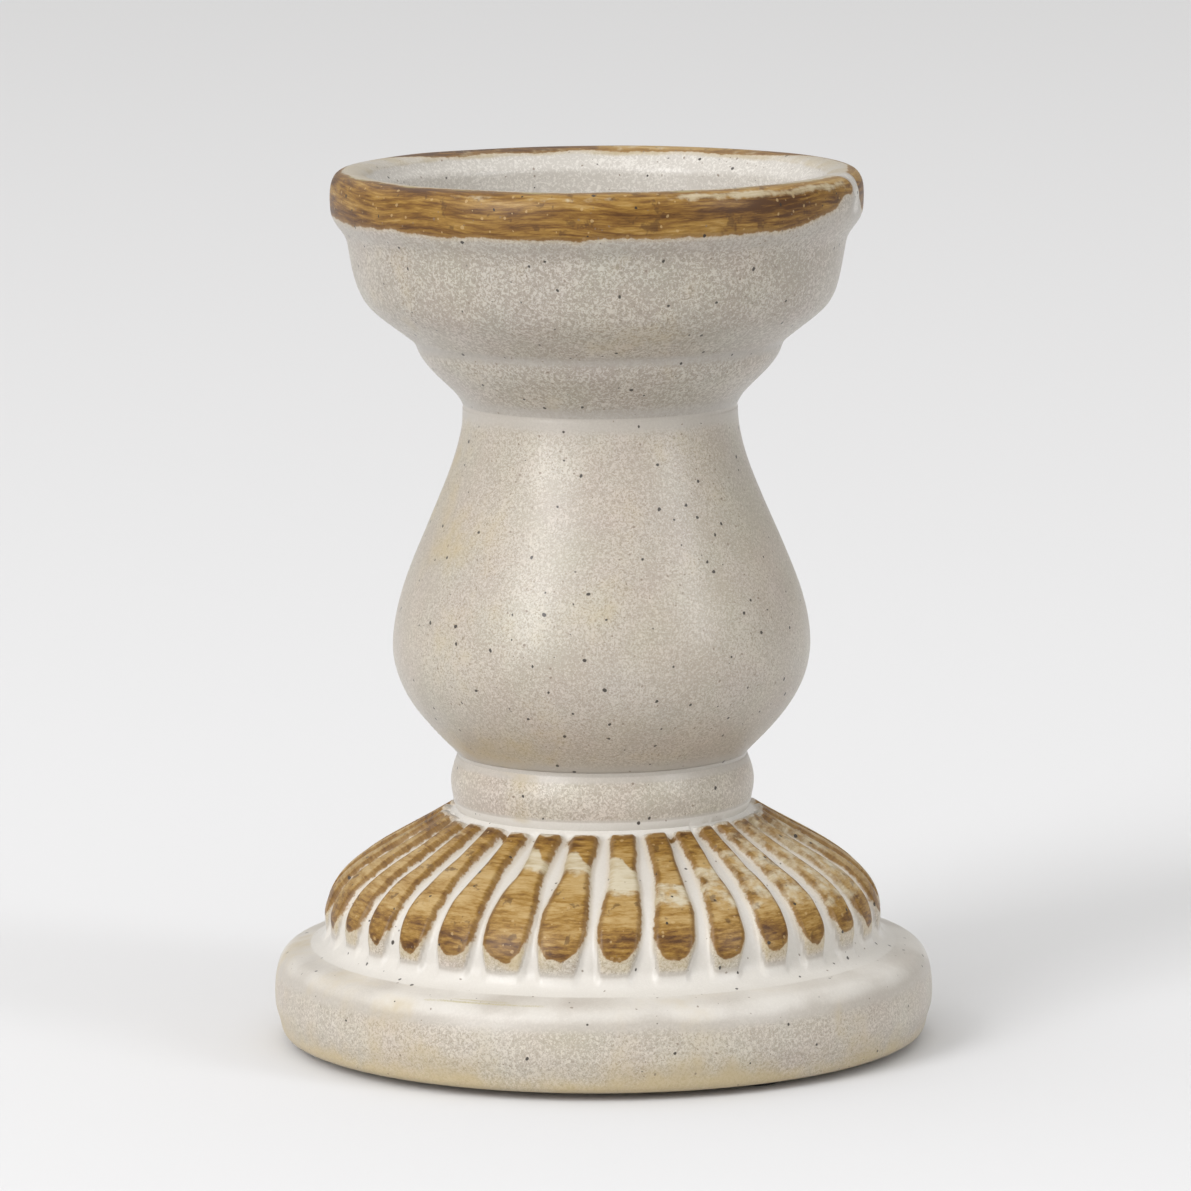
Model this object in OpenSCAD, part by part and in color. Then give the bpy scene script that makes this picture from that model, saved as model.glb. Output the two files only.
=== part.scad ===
// Stoneware candlestick: an open cup on a hollow baluster stem and a ribbed, hollow base.
// Millimetres, +Z up. The origin is on the standing surface, on the turning axis.
// The base, stem and cup stack spigot into socket, and a thin ring of slip closes each seam.

/* [Overall] */
// Height from the standing surface to the top of the rim
total_h = 168; // [140:1:210]
// Greatest diameter of the round plinth
base_d = 127; // [118:1:160]
// Greatest diameter of the rolled rim
rim_d = 102; // [100:1:124]
// Thickness of the hollow clay walls
wall = 6; // [4:0.5:7]

/* [Plinth] */
// Height of the plinth, from its underside to its shoulder
plinth_h = 16.4; // [14:0.2:24]
// Bulge of the plinth's side beyond its bottom edge
plinth_bulge = 1.2; // [0.5:0.1:3]
// Width of the rounded shoulder on the plinth
shoulder_w = 3.2; // [2:0.1:5]
// Rounding of the plinth's bottom edge
plinth_edge_r = 1.6; // [0.5:0.1:3]
// Thickness of the floor of the base
base_floor = 6; // [4:0.5:8]
// Diameter of the hole in the floor of the base
pour_hole_d = 40; // [20:1:60]

/* [Ribbed skirt] */
// Diameter over the lower ends of the ribs
rib_foot_d = 108; // [100:0.2:112]
// Rise of the hollow ledge from the plinth's shoulder to the ribs
ledge_rise = 4.4; // [2:0.2:6]
// Height of the skirt above the ledge
skirt_h = 24.7; // [18:0.1:36]
// Downward slope of the skirt below the collar, in degrees
skirt_slope = 33; // [28:1:38]
// Number of ribs
rib_count = 32; // [24:2:36]
// Turn of the ribs about the axis, in degrees
rib_phase = 3.75; // [0:0.25:11.25]
// Depth of the grooves between the ribs
rib_depth = 1.6; // [0.8:0.1:2.4]
// Width of a rib at the collar
rib_top_w = 4.2; // [2:0.1:4.6]
// Width of a rib at its lower end
rib_foot_w = 7.6; // [5:0.1:8.4]

/* [Collar] */
// Diameter of the collar bead
collar_d = 58.2; // [56.4:0.2:66]
// Height of the collar bead
collar_h = 8.2; // [6:0.2:12]

/* [Stem] */
// Diameter of the lower neck
low_neck_d = 55.8; // [50:0.2:56]
// Greatest diameter of the belly
belly_d = 80.2; // [70:0.2:98]
// Height of the belly above the lower neck
belly_rise = 21; // [18:0.5:24]
// Diameter of the upper neck
top_neck_d = 52.6; // [48:0.2:56]

/* [Cup] */
// Height of the cup, from the upper neck to the top of the rim
cup_h = 44.8; // [42:0.2:50]
// Diameter of the stepped moulding under the bowl
step_d = 70.6; // [64:0.2:74]
// Height of the stepped moulding
step_h = 12; // [10:0.2:13]
// Diameter of the bowl where its rim begins
bowl_d = 95.2; // [93:0.2:98]
// Height of the rolled rim and the hollow curve under it
rim_h = 13.5; // [11:0.5:16]
// Width of the rounded top of the rim
rim_top_w = 3.6; // [2:0.2:4]
// Inside diameter of the cup
cup_bore_d = 83; // [78:0.2:84]
// Depth of the cup inside
cup_depth = 26; // [20:0.5:28]
// Rounding between the cup's wall and its floor
cup_corner_r = 6; // [4:0.5:8]
// Rounding of the rim's inner edge
lip_inner_r = 2; // [1:0.1:2.5]

/* [Seams] */
// Height of a spigot in its socket
spigot_h = 8; // [5:0.5:12]
// Wall of a spigot
spigot_wall = 5; // [3:0.5:6]
// Clearance round a spigot in its socket
spigot_gap = 0.3; // [0.1:0.05:0.6]
// Thickness of the ring of slip in a seam
slip_t = 0.8; // [0.4:0.1:1.6]

/* [Foot pads] */
// Diameter of a foot pad
pad_d = 10.5; // [8:0.5:16]
// Thickness of a foot pad
pad_t = 1.5; // [1:0.1:3]
// Distance of the pads' edge from the edge of the plinth's flat underside
pad_inset = 4; // [1:0.5:10]
// Turn of the pads about the axis, in degrees
pad_phase = -57; // [-180:1:180]

/* [Hidden] */

curve_steps = 10;
skirt_steps = 8;
pad_count = 3;
rib_sink = 1;
socket_spare = 1;
crease = 0.4;

base_r = base_d / 2;
flat_r = base_r - plinth_bulge - plinth_edge_r;
edge_r = base_r - plinth_bulge;
shoulder_r = base_r - shoulder_w;
rib_foot_r = rib_foot_d / 2;
collar_r = collar_d / 2;
low_neck_r = low_neck_d / 2;
belly_r = belly_d / 2;
top_neck_r = top_neck_d / 2;
step_r = step_d / 2;
bowl_r = bowl_d / 2;
rim_r = rim_d / 2;
cup_bore_r = cup_bore_d / 2;
low_socket_r = low_neck_r - wall;
top_socket_r = top_neck_r - wall;
pad_circle_r = flat_r - pad_inset - pad_d / 2;

base_z = pad_t;
shoulder_z = base_z + plinth_h;
ledge_z = shoulder_z + ledge_rise;
skirt_top_z = ledge_z + skirt_h;
base_top_z = skirt_top_z + collar_h;
stem_z = base_top_z + slip_t;
cup_z = total_h - cup_h;
stem_top_z = cup_z - slip_t;
belly_z = stem_z + belly_rise;
step_top_z = cup_z + step_h;
rim_z = total_h - rim_h;
cup_floor_z = total_h - cup_depth;

// Points of an arc about [x, y], from angle a to angle b
function arc(x, y, r, a, b, steps = curve_steps) =
    [for (i = [0:steps]) [x + r * cos(a + (b - a) * i / steps), y + r * sin(a + (b - a) * i / steps)]];

// Points of a smooth curve from p to q, drawn towards a and then b
function curve(p, a, b, q, steps = curve_steps) =
    [for (i = [0:steps])
        let (t = i / steps, s = 1 - t)
        s * s * s * p + 3 * s * s * t * a + 3 * s * t * t * b + t * t * t * q];

// The same curve, with a and b given as shares of the width and height between p and q
function bow(p, q, a, b, steps = curve_steps) =
    let (span = q - p)
    curve(p, p + [a[0] * span[0], a[1] * span[1]], p + [b[0] * span[0], b[1] * span[1]], q, steps);

function backwards(points) = [for (i = [len(points) - 1:-1:0]) points[i]];

// The skirt's line at a depth below the rib crests, from the collar down to the ledge
function skirt_line(depth) =
    let (top = [collar_r - crease - depth * sin(skirt_slope), skirt_top_z - 3 * crease - depth * cos(skirt_slope)],
         foot = [rib_foot_r - depth, ledge_z],
         lead = 0.57 * (foot[0] - top[0]))
    curve(top, top + lead * [1, -tan(skirt_slope)], foot + [0, 0.48 * skirt_h], foot, skirt_steps);

// The stem's line at a depth below its surface, from the lower neck to the upper neck
function stem_line(depth) =
    let (low = [low_neck_r - depth, stem_z], mid = [belly_r - depth, belly_z],
         top = [top_neck_r - depth, stem_top_z])
    concat(bow(low, mid, [0.36, 0.22], [1, 0.53]), bow(mid, top, [0, 0.31], [1, 0.71]));

// ---- candle_cup ----
module candle_cup() {
    spigot_r = top_socket_r - spigot_gap;
    hollow_r = spigot_r - spigot_wall;
    step_top = [step_r - crease / 2, step_top_z - crease];
    bowl_foot = [step_r, step_top_z];
    bowl_top = [bowl_r, rim_z];
    band_foot = [rim_r - crease / 2, rim_z + 0.44 * rim_h];
    crown = [rim_r - rim_top_w, total_h];
    lip = [cup_bore_r + lip_inner_r, total_h - lip_inner_r];
    outside = concat(
        bow([top_neck_r, cup_z], step_top, [0.04, 0.22], [0.94, 0.62]),
        bow(bowl_foot, bowl_top, [0.77, 0.4], [0.82, 0.29]),
        bow(bowl_top, band_foot, [0.12, 0.37], [0.94, 0.56], 6),
        bow(band_foot, crown, [-0.14, 0.8], [0.15, 1]),
        bow(crown, lip, [0.5, 0], [1, 0.3], 6));
    corner = arc(cup_bore_r - cup_corner_r, cup_floor_z + cup_corner_r, cup_corner_r, 0, -90, 8);
    color("tan")
    rotate_extrude($fn = 120)
    polygon(concat(
        [[hollow_r, cup_z - spigot_h], [spigot_r, cup_z - spigot_h], [spigot_r, cup_z]],
        outside,
        [[cup_bore_r, total_h - 2 * lip_inner_r]],
        corner,
        [[0, cup_floor_z], [0, cup_floor_z - wall], [step_r - wall, cup_floor_z - wall],
         [hollow_r, cup_z + crease]]));
}

// ---- stem ----
module stem() {
    spigot_r = low_socket_r - spigot_gap;
    hollow_r = spigot_r - spigot_wall;
    socket_end_z = stem_top_z - spigot_h - socket_spare;
    inner = [for (p = backwards(stem_line(wall))) if (p[1] > stem_z + wall && p[1] < socket_end_z) p];
    color("tan")
    rotate_extrude($fn = 120)
    polygon(concat(
        [[hollow_r, stem_z - spigot_h], [spigot_r, stem_z - spigot_h], [spigot_r, stem_z]],
        stem_line(0),
        [[top_socket_r, stem_top_z], [top_socket_r, socket_end_z]],
        inner,
        [[hollow_r, stem_z + wall / 2]]));
}

// ---- fluted_base ----
module base_body() {
    plinth_foot = [edge_r, base_z + plinth_edge_r];
    plinth_mid = [base_r, base_z + plinth_h / 2];
    shoulder = [shoulder_r, shoulder_z];
    outside = concat(
        arc(flat_r, base_z + plinth_edge_r, plinth_edge_r, -80, -10, 4),
        bow(plinth_foot, plinth_mid, [0.38, 0.52], [1, 0.35]),
        bow(plinth_mid, shoulder, [0, 0.52], [0.3, 0.96]),
        bow(shoulder, [rib_foot_r - rib_depth, ledge_z], [0.45, 0.12], [0.8, 0.25], 6),
        backwards(skirt_line(rib_depth)),
        curve([collar_r - crease, skirt_top_z], [collar_r + crease, skirt_top_z + 0.36 * collar_h],
              [collar_r + crease, base_top_z - 0.43 * collar_h], [low_neck_r, base_top_z]));
    floor_top_z = base_z + base_floor;
    cavity_r = shoulder_r - wall;
    socket_end_z = base_top_z - spigot_h - socket_spare;
    inner = [for (p = skirt_line(wall + rib_depth)) if (p[1] > shoulder_z && p[0] > low_socket_r) p];
    rotate_extrude($fn = 120)
    polygon(concat(
        [[pour_hole_d / 2, base_z], [flat_r, base_z]],
        outside,
        [[low_socket_r, base_top_z], [low_socket_r, min(socket_end_z, inner[0][1] + socket_spare)]],
        inner,
        [[cavity_r, shoulder_z - wall], [cavity_r, floor_top_z], [pour_hole_d / 2, floor_top_z]]));
}

// Plan of one rib along +X: narrow at the collar, wide and round at its lower end
module rib_plan() {
    end_r = rib_foot_w / 2;
    start_x = collar_r - rib_sink;
    polygon(concat(
        [[start_x, -rib_top_w / 2]],
        arc(rib_foot_r - crease - end_r, 0, end_r, -90, 90, 6),
        [[start_x, rib_top_w / 2]]));
}

module ribs() {
    foot_z = ledge_z - ledge_rise / 2;
    intersection() {
        rotate_extrude($fn = 120)
        polygon(concat(
            skirt_line(0),
            [[rib_foot_r, foot_z], [rib_foot_r - rib_depth - rib_sink, foot_z]],
            backwards(skirt_line(rib_depth + rib_sink))));
        translate([0, 0, foot_z - rib_sink])
        linear_extrude(height = skirt_top_z - foot_z + rib_sink)
        for (i = [0:rib_count - 1]) {
            rotate(rib_phase + i * 360 / rib_count) rib_plan();
        }
    }
}

module fluted_base() {
    color("peru")
    union() {
        base_body();
        ribs();
    }
}

// ---- slip rings ----
module slip_ring(inner_r, neck_r, z) {
    color("ivory")
    translate([0, 0, z])
    difference() {
        cylinder(h = slip_t, r = neck_r - crease / 2, $fn = 120);
        translate([0, 0, -1]) cylinder(h = slip_t + 2, r = inner_r, $fn = 120);
    }
}

module upper_slip_ring() { slip_ring(top_socket_r, top_neck_r, stem_top_z); }
module lower_slip_ring() { slip_ring(low_socket_r, low_neck_r, base_top_z); }

// ---- foot pads ----
module foot_pad(i) {
    color("dimgray")
    rotate(pad_phase + i * 360 / pad_count)
    translate([pad_circle_r, 0, 0])
    cylinder(h = pad_t, d = pad_d, $fn = 48);
}

candle_cup();
stem();
fluted_base();
upper_slip_ring();
lower_slip_ring();
foot_pad(0);  // foot_pad_1
foot_pad(1);  // foot_pad_2
foot_pad(2);  // foot_pad_3
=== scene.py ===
import math
import bpy
import numpy as np
from mathutils import Matrix, Vector


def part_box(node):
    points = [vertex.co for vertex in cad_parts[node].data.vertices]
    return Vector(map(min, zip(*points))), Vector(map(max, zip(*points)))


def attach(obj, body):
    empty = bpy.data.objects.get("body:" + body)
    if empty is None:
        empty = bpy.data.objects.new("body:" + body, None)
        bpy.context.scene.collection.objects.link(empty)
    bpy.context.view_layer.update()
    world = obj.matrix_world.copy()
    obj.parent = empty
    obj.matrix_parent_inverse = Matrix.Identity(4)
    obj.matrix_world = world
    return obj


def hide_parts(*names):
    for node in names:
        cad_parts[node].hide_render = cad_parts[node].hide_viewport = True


# A glazed stoneware candlestick: cup, stem and ribbed base, two slip seams and three rubber pads.
# Shapes are worked out in millimetres and go into Blender in metres. Azimuth 0 is the front (-Y),
# and it grows towards +X. All unevenness is seeded, so each run gives the same candlestick.

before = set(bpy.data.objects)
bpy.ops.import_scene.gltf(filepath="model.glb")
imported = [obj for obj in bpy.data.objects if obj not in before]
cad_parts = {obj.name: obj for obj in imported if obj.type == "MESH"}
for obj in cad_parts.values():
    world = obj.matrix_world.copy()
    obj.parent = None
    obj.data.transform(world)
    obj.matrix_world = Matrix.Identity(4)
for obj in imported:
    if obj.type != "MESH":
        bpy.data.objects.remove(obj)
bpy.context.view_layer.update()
mm = 0.001


# outlines

def curvePoints(p, a, b, q, steps=24):  # smooth curve from p to q, drawn towards a and then b
    t = np.linspace(0, 1, steps + 1)[:, None]
    s = 1 - t
    p, a, b, q = (np.array(v, float) for v in (p, a, b, q))
    return s**3 * p + 3 * s * s * t * a + 3 * s * t * t * b + t**3 * q


def bowPoints(p, q, a, b, steps=24):  # the same, with a and b as shares of the span from p to q
    p, q = np.array(p, float), np.array(q, float)
    return curvePoints(p, p + (q - p) * a, p + (q - p) * b, q, steps)


def arcPoints(x, z, radius, start, stop, steps=12):
    angles = np.radians(np.linspace(start, stop, steps + 1))
    return np.stack([x + radius * np.cos(angles), z + radius * np.sin(angles)], 1)


def lengthAlong(points):
    return np.concatenate([[0], np.cumsum(np.hypot(*np.diff(points, axis=0).T))])


def evenPoints(points, spacing):  # the same line with its points at an even spacing
    points = np.array(points, float)
    along = lengthAlong(points)
    keep = np.concatenate([[True], np.diff(along) > 1e-6])
    places = np.linspace(0, along[-1], max(2, round(along[-1] / spacing) + 1))
    return np.stack([np.interp(places, along[keep], points[keep, i]) for i in (0, 1)], 1)


def softened(points, passes):  # glaze rounds every crease; the two ends stay where they are
    points = points.copy()
    for _ in range(passes):
        points[1:-1] = 0.5 * points[1:-1] + 0.25 * (points[:-2] + points[2:])
    return points


# meshes

def ripple(places, wavelength, seed, count=18):  # smooth seeded unevenness, about -1 to 1
    rng = np.random.default_rng(seed)
    total = np.zeros(places.shape[:-1])
    for _ in range(count):
        direction = rng.normal(size=places.shape[-1])
        direction /= np.linalg.norm(direction)
        pace = 2 * math.pi / (wavelength * rng.uniform(0.7, 1.6))
        total += np.sin(places @ direction * pace + rng.uniform(0, 2 * math.pi))
    return total / math.sqrt(count / 2) / 1.6


def waves(places, *parts):  # ripples together, each given as height, wavelength and seed
    return sum(size * ripple(places, wavelength, seed) for size, wavelength, seed in parts)


def hump(value, middle, width):  # 1 at the middle, fading to both sides
    return np.exp(-((value - middle) / width) ** 2)


def smoothStep(value, low, high):
    t = np.clip((value - low) / (high - low), 0, 1)
    return t * t * (3 - 2 * t)


def leftSide(degrees, start):  # 1 on the left, fading to 0 at the start and behind
    return smoothStep(degrees, start, -60) * smoothStep(degrees, -150, -90)


def azimuths(segments):
    return (np.arange(segments) * 2 * math.pi / segments - math.pi)[None, :]


def spun(azimuth, radius, height):  # points of a turned surface, one row for each outline point
    return np.stack([radius * np.sin(azimuth), -radius * np.cos(azimuth), height + 0 * azimuth], -1)


sharpAngle = 50  # degrees between two faces, past which their edge stays sharp


def turnedPiece(name, places, layers=None):  # a closed outline turned about Z, as one object
    rows, segments = places.shape[:2]
    index = np.arange(rows * segments).reshape(rows, segments)
    poles = np.hypot(places[:, 0, 0], places[:, 0, 1]) < 1e-6
    index[poles] = index[poles][:, :1]
    below, above = index, np.roll(index, -1, 0)
    quads = np.stack([below, np.roll(below, -1, 1), np.roll(above, -1, 1), above], -1)
    faces = [list(dict.fromkeys(quad)) for quad in quads.reshape(-1, 4).tolist()]
    faces = [face for face in faces if len(face) > 2]
    joined = np.concatenate([np.array(face) for face in faces])
    used, packed = np.unique(joined, return_inverse=True)
    ends = np.cumsum([len(face) for face in faces])
    corners = np.split(packed, ends[:-1])
    mesh = bpy.data.meshes.new(name)
    points = places.reshape(-1, 3)[used] * mm
    mesh.from_pydata(points.tolist(), [], [corner.tolist() for corner in corners])
    for label, values in (layers or {}).items():
        flat = values.ndim == 2
        kind, key, width = ("FLOAT", "value", 1) if flat else ("FLOAT_VECTOR", "vector", 3)
        layer = mesh.attributes.new(label, kind, "POINT")
        layer.data.foreach_set(key, values.reshape(-1, width)[used].astype(np.float32).ravel())
    mesh.polygons.foreach_set("use_smooth", [True] * len(mesh.polygons))
    mesh.set_sharp_from_angle(angle=math.radians(sharpAngle))
    mesh.update()
    piece = bpy.data.objects.new(name, mesh)
    bpy.context.scene.collection.objects.link(piece)
    return piece


def fitted(piece, material, node):  # the piece stands for a CAD node: it takes the material, hangs from the root body, and the node is hidden
    piece.data.materials.append(material)
    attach(piece, "root")
    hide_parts(node)
    print("made", piece.name, len(piece.data.polygons), "faces")
    return piece


# nodes

def newGroup(name, inputs, outputs):
    group = bpy.data.node_groups.new(name, "ShaderNodeTree")
    for label, kind, value in inputs:
        socket = group.interface.new_socket(name=label, in_out="INPUT", socket_type=kind)
        socket.default_value = value
    for label, kind in outputs:
        group.interface.new_socket(name=label, in_out="OUTPUT", socket_type=kind)
    return group, group.nodes.new("NodeGroupInput"), group.nodes.new("NodeGroupOutput")


def feed(tree, socket, value):  # a link from another node, or a plain value
    if isinstance(value, bpy.types.NodeSocket):
        tree.links.new(value, socket)
    else:
        socket.default_value = value


def addNode(tree, kind, inputs=None, **settings):
    made = tree.nodes.new(kind)
    for label, value in settings.items():
        setattr(made, label, value)
    for label, value in (inputs or {}).items():
        feed(tree, made.inputs[label], value)
    return made


def calc(tree, operation, first, second):
    made = addNode(tree, "ShaderNodeMath", {0: first, 1: second}, operation=operation)
    return made.outputs[0]


def times(tree, first, second):
    return calc(tree, "MULTIPLY", first, second)


def addShare(tree, base, extra, share):  # the base with a share of something more
    return calc(tree, "ADD", base, times(tree, extra, share))


def remap(tree, value, low, high, outLow=0.0, outHigh=1.0):
    made = addNode(tree, "ShaderNodeMapRange", {"Value": value, "From Min": low, "From Max": high,
                   "To Min": outLow, "To Max": outHigh}, interpolation_type="SMOOTHSTEP")
    return made.outputs[0]


def mixColor(tree, factor, first, second, blend="MIX"):
    made = addNode(tree, "ShaderNodeMix", data_type="RGBA", blend_type=blend)
    feed(tree, made.inputs[0], factor)
    for place, color in ((6, first), (7, second)):
        feed(tree, made.inputs[place], (*color, 1) if isinstance(color, tuple) else color)
    return made.outputs[2]


def covered(tree, color, mask, share, other):  # another colour over it, where the mask says
    return mixColor(tree, times(tree, mask, share), color, other)


def noiseOf(tree, vector, scale, detail, roughness=0.55, distortion=0.0, output="Fac"):
    made = addNode(tree, "ShaderNodeTexNoise", {"Vector": vector, "Scale": scale, "Detail": detail,
                   "Roughness": roughness, "Distortion": distortion})
    return made.outputs[output]


def stops(tree, value, colors):
    made = addNode(tree, "ShaderNodeValToRGB", {"Fac": value})
    ramp = made.color_ramp
    while len(ramp.elements) < len(colors):
        ramp.elements.new(0.5)
    for element, (place, color) in zip(ramp.elements, colors):
        element.position = place
        element.color = (*color, 1)
    return made.outputs["Color"]


def placeGroup(tree, group, **values):
    return addNode(tree, "ShaderNodeGroup", values, node_tree=group)


# effects that the glazes share

def makeSpecks():  # iron specks: small dark dots, one to a cell, of uneven size
    group, given, result = newGroup(
        "ironSpecks", [("Scale", "NodeSocketFloat", 250.0), ("Size", "NodeSocketFloat", 0.1),
                       ("Share", "NodeSocketFloat", 0.5)], [("Mask", "NodeSocketFloat")])
    place = addNode(group, "ShaderNodeTexCoord").outputs["Object"]
    bent = addNode(group, "ShaderNodeVectorMath", {0: noiseOf(group, place, 900, 1, output="Color"),
                   "Scale": 0.0006}, operation="SCALE").outputs[0]
    moved = addNode(group, "ShaderNodeVectorMath", {0: place, 1: bent}, operation="ADD").outputs[0]
    cells = addNode(group, "ShaderNodeTexVoronoi", {"Vector": moved, "Scale": given.outputs["Scale"]})
    chance = addNode(group, "ShaderNodeSeparateColor", {"Color": cells.outputs["Color"]})
    uneven = remap(group, chance.outputs[1], 0, 1, 0.35, 1)
    size = times(group, given.outputs["Size"], uneven)
    dot = calc(group, "DIVIDE", cells.outputs["Distance"], size)
    kept = calc(group, "LESS_THAN", chance.outputs[0], given.outputs["Share"])
    mask = times(group, remap(group, dot, 0.7, 1.0, 1, 0), kept)
    group.links.new(mask, result.inputs["Mask"])
    return group


def makeFlecks():  # short pale crystals that float in the glaze
    group, given, result = newGroup(
        "glazeFlecks", [("Scale", "NodeSocketFloat", 700.0), ("Cover", "NodeSocketFloat", 0.5)],
        [("Mask", "NodeSocketFloat"), ("Cloud", "NodeSocketFloat"), ("Pit", "NodeSocketFloat")])
    place = addNode(group, "ShaderNodeTexCoord").outputs["Object"]
    crystal = noiseOf(group, place, given.outputs["Scale"], 3, 0.62, 0.9)
    cloud = noiseOf(group, place, 95, 3, 0.6)
    edge = calc(group, "SUBTRACT", 1.03, given.outputs["Cover"])
    shifted = addShare(group, crystal, calc(group, "SUBTRACT", cloud, 0.5), 0.22)
    low = calc(group, "SUBTRACT", edge, 0.05)
    high = calc(group, "ADD", edge, 0.09)
    group.links.new(remap(group, shifted, low, high), result.inputs["Mask"])
    group.links.new(cloud, result.inputs["Cloud"])
    group.links.new(remap(group, crystal, 0.42, 0.34), result.inputs["Pit"])
    return group


brushLook = {
    "wash": [(0.37, (0.072, 0.027, 0.004)), (0.45, (0.170, 0.080, 0.013)),    # thick to thin
             (0.52, (0.280, 0.155, 0.030)), (0.62, (0.400, 0.265, 0.100)),
             (0.74, (0.460, 0.330, 0.155))],
    "wiped": [(0.40, (0.38, 0.30, 0.17)), (0.50, (0.47, 0.40, 0.27)), (0.62, (0.55, 0.50, 0.38))],
    "blot": (0.065, 0.026, 0.006),
    "dot": (0.45, 0.31, 0.14),
    "outline": (0.105, 0.046, 0.009),    # dark line inside the edge
    "fringe": (0.36, 0.215, 0.075),      # thin wash at the very edge
}


def makeBrushwork(specks):  # ochre iron wash, brushed along the piece in thin streaks
    look = brushLook
    group, given, result = newGroup(
        "ironBrushwork", [("Stroke", "NodeSocketVector", (0, 0, 0)), ("Edge", "NodeSocketFloat", 0.0),
                          ("Wipe", "NodeSocketFloat", 0.0), ("Depth", "NodeSocketFloat", 0.0)],
        [("Color", "NodeSocketColor"), ("Mask", "NodeSocketFloat"), ("Height", "NodeSocketFloat")])
    place = addNode(group, "ShaderNodeTexCoord").outputs["Object"]
    stroke = given.outputs["Stroke"]
    broad = noiseOf(group, stroke, 0.22, 3, 0.6)
    streak = noiseOf(group, stroke, 1.5, 4, 0.7)
    grit = noiseOf(group, place, 1100, 2, 0.6)
    tone = addShare(group, times(group, broad, 0.5), streak, 0.5)
    tone = calc(group, "SUBTRACT", tone, times(group, given.outputs["Depth"], 0.07))
    wash = stops(group, tone, look["wash"])
    blot = remap(group, noiseOf(group, place, 330, 3, 0.6), 0.60, 0.68)
    wash = covered(group, wash, blot, 0.6, look["blot"])
    dots = placeGroup(group, specks, Scale=640.0, Size=0.26, Share=0.62).outputs["Mask"]
    wash = covered(group, wash, dots, 0.6, look["dot"])
    wander = calc(group, "SUBTRACT", noiseOf(group, place, 380, 3, 0.6), 0.5)
    ragged = addShare(group, times(group, wander, 0.9), calc(group, "SUBTRACT", grit, 0.5), 0.8)
    border = calc(group, "ADD", given.outputs["Edge"], ragged)
    wash = mixColor(group, remap(group, border, 0.3, 1.3, 0.55, 0), wash, look["outline"])
    fringe = remap(group, border, 0.1, 0.9, 1, 0)
    wash = covered(group, wash, fringe, 0.35, look["fringe"])
    wiped = remap(group, addShare(group, given.outputs["Wipe"], wander, 2.6), -0.4, 0.5)
    color = covered(group, wash, wiped, 0.9, stops(group, tone, look["wiped"]))
    height = addShare(group, times(group, streak, 0.7), grit, 0.3)
    group.links.new(color, result.inputs["Color"])
    group.links.new(remap(group, border, -0.18, 0.22), result.inputs["Mask"])
    group.links.new(height, result.inputs["Height"])
    return group


def layerOf(tree, label, output="Fac"):  # a mask that is kept in the mesh
    return addNode(tree, "ShaderNodeAttribute", attribute_name=label).outputs[output]


specks, flecks = makeSpecks(), makeFlecks()
brushwork = makeBrushwork(specks)

glazeLook = {    # colours that take on each piece's own tone
    "stone": (0.335, 0.291, 0.235),     # warm grey-beige ground
    "cream": (0.545, 0.500, 0.430),     # flecks
    "smooth": (0.400, 0.368, 0.325),    # where the glaze runs thicker and hides the flecks
    "toasted": (0.400, 0.315, 0.168),   # iron showing through thin glaze
    "olive": (0.36, 0.31, 0.14),        # thin greenish lines
    "iron": (0.030, 0.022, 0.016),      # large specks
    "clay": (0.50, 0.42, 0.31),         # where there is no glaze
}
sameLook = {    # colours that are the same on every piece
    "pooled": (0.630, 0.600, 0.550),    # white, where the glaze fills a groove
    "pit": (0.20, 0.165, 0.115),
    "stain": (0.46, 0.36, 0.22),        # beside the brown
    "rust": (0.17, 0.12, 0.08),         # small specks
    "clayGrain": (0.37, 0.29, 0.19),
    "clayCloud": (0.44, 0.33, 0.20),
}
glazes = {    # scale and contrast of the flecks, mottle in the white, share of cells with a speck
    # the cup's lower tone is partly painted shade: it darkens the bowl, the underside that hangs over
    # the stem
    "cupStoneware": {"painted": True, "tone": 0.89, "scale": 1700.0, "contrast": 0.95,
                     "mottle": 0.5, "share": 0.85},
    "stemStoneware": {"painted": False, "tone": 1.04, "scale": 2400.0, "contrast": 0.62,
                      "mottle": 0.2, "share": 0.9},
    "baseStoneware": {"painted": True, "tone": 1.13, "scale": 2000.0, "contrast": 0.75,
                      "mottle": 0.1, "share": 0.45},
}


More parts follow.
